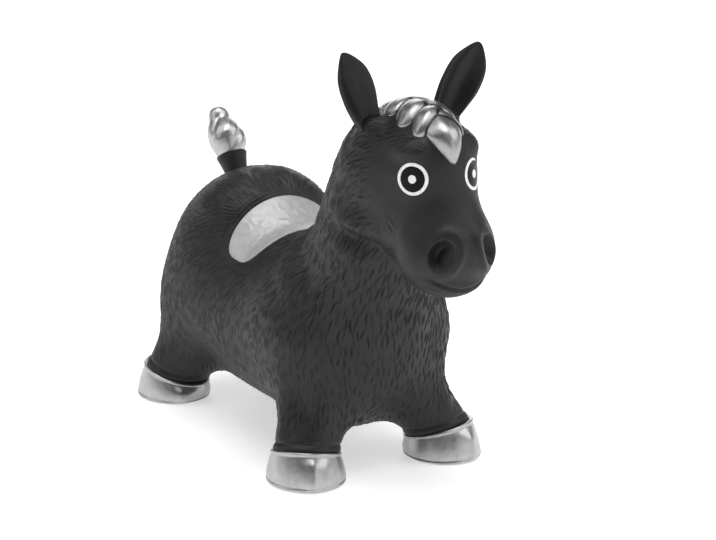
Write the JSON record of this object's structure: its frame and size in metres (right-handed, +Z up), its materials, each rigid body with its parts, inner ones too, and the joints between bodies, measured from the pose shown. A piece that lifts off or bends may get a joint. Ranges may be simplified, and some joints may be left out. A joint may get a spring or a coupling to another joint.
{
  "type": "bouncy horse hopper",
  "caption": "Inflated rubber horse for a child to sit on and bounce, with a moulded skin, silver hooves, saddle, forelock and tail, and a stoppered belly valve.",
  "frame": {"origin": "on the floor under the middle of the horse", "axes": "+X forward, +Y to the horse's left, +Z up"},
  "size_m": [0.5904, 0.2622, 0.4894],
  "materials": {
    "black_rubber": "satin",
    "silver_paint": "metallic",
    "pale_silver": "satin",
    "white_paint": "satin",
    "gloss_black": "gloss",
    "grey_vinyl": "matte",
    "white_vinyl": "matte"
  },
  "bodies": {
    "feet": {"hoof_front_left": "silver_paint", "hoof_front_right": "silver_paint", "hoof_hind_left": "silver_paint", "hoof_hind_right": "silver_paint", "leg_front_left": "black_rubber", "leg_front_right": "black_rubber", "leg_hind_left": "black_rubber", "leg_hind_right": "black_rubber"},
    "trunk": {"trunk_skin": "black_rubber", "saddle_film": "pale_silver", "valve_bush": "grey_vinyl"},
    "head": {"neck_skin": "black_rubber", "head_skin": "black_rubber", "forelock": "silver_paint", "eye_ring_left": "white_paint", "eye_disc_left": "gloss_black", "eye_dot_left": "white_paint", "eye_ring_right": "white_paint", "eye_disc_right": "gloss_black", "eye_dot_right": "white_paint"},
    "left_ear": {"ear_left": "black_rubber"},
    "right_ear": {"ear_right": "black_rubber"},
    "tail": {"tail_stub": "black_rubber", "tail_tuft": "silver_paint"},
    "stopper": {"valve_stopper": "white_vinyl"}
  },
  "joints": [
    {"name": "bounce", "type": "slide", "parent": "feet", "child": "trunk", "axis": [0, 0, 1], "range_m": [-0.02, 0], "stiffness_N_per_m": 6000, "springref_m": 0.004, "deforming": ["leg_front_left", "leg_front_right", "leg_hind_left", "leg_hind_right"]},
    {"name": "neck_nod", "type": "hinge", "parent": "trunk", "child": "head", "pos_m": [0.05834, 0, 0.172], "axis": [0, 1, 0], "range_deg": [-7, 7], "stiffness_Nm_per_rad": 40, "springref_deg": -0.49},
    {"name": "left_ear_flex", "type": "hinge", "parent": "head", "child": "left_ear", "pos_m": [0.17663, 0.04788, 0.41058], "axis": [-0.139, 0.9181, -0.3711], "range_deg": [-20, 20], "stiffness_Nm_per_rad": 1.2},
    {"name": "right_ear_flex", "type": "hinge", "parent": "head", "child": "right_ear", "pos_m": [0.17663, -0.04788, 0.41058], "axis": [0.139, 0.9181, 0.3711], "range_deg": [-20, 20], "stiffness_Nm_per_rad": 1.2},
    {"name": "tail_wag", "type": "hinge", "parent": "trunk", "child": "tail", "pos_m": [-0.24073, 0, 0.26674], "axis": [0.8291, 0, 0.5591], "range_deg": [-20, 20], "stiffness_Nm_per_rad": 1.5},
    {"name": "stopper_pull", "type": "slide", "parent": "trunk", "child": "stopper", "axis": [0, 0, -1], "range_m": [0, 0.018]}
  ]
}
